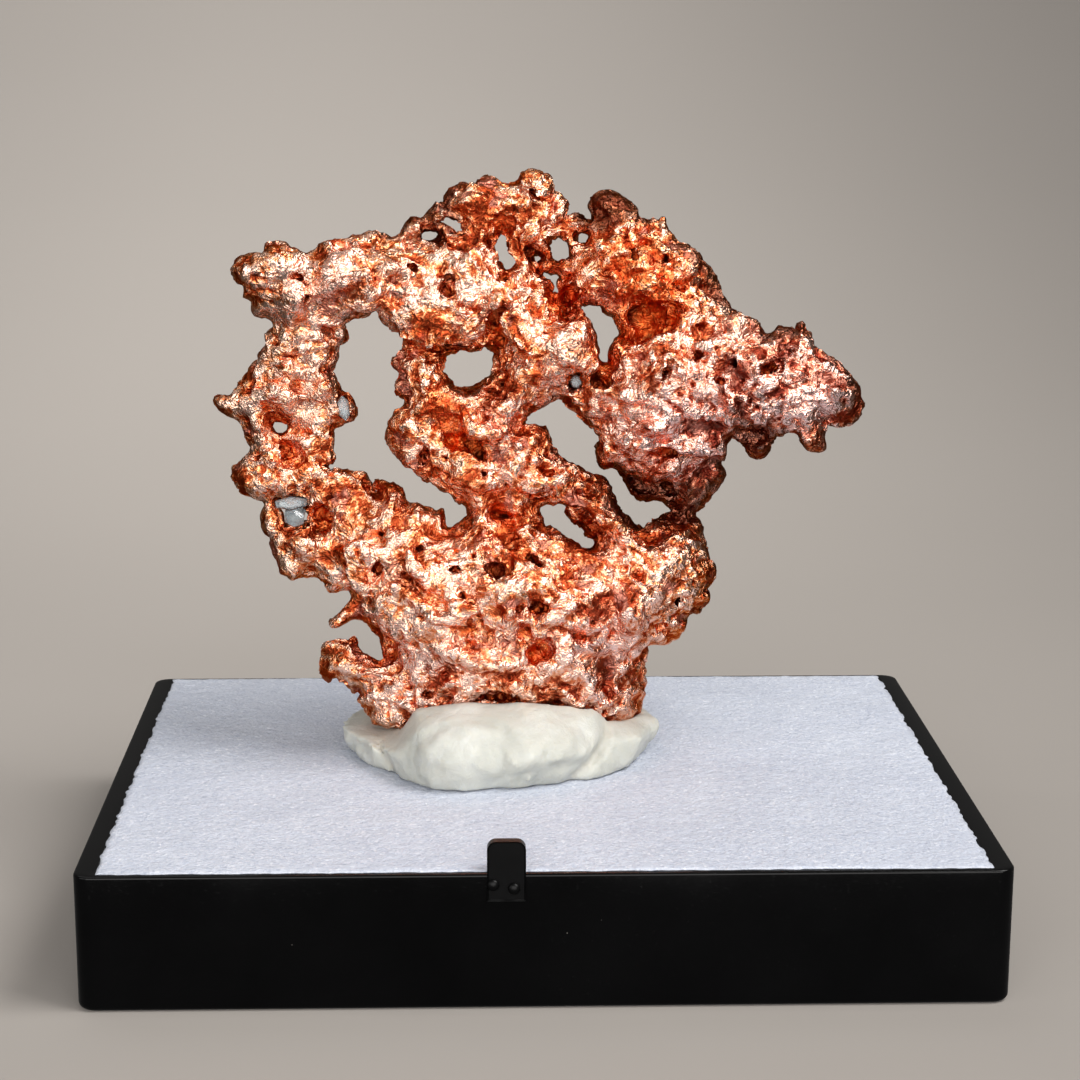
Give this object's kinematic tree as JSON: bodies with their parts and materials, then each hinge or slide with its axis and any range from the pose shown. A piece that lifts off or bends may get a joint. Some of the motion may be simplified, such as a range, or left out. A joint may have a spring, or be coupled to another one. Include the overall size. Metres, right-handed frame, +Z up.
{
  "type": "native copper specimen",
  "caption": "Branching native copper nugget with through gaps, held upright in white putty on a foam bed in a shallow black display tray.",
  "frame": {"origin": "centre of the tray's resting face", "axes": "+Z up, +X to the right of the specimen's front, -Y to the front of the tray where the latch tongue is"},
  "size_m": [0.0824, 0.0656, 0.0706],
  "materials": {
    "black_plastic": "glossy black moulded polystyrene",
    "foam": "pale granular foam",
    "putty": "off-white mounting putty",
    "native_copper": "bright crystalline native copper with dark red tarnish in the hollows",
    "calcite": "translucent grey calcite"
  },
  "bodies": {
    "root": {"box_base": "black_plastic", "foam_insert": "foam", "putty": "putty", "copper_nugget": "native_copper", "calcite_lower_left": "calcite", "calcite_left_arm": "calcite", "calcite_centre": "calcite"}
  },
  "joints": []
}
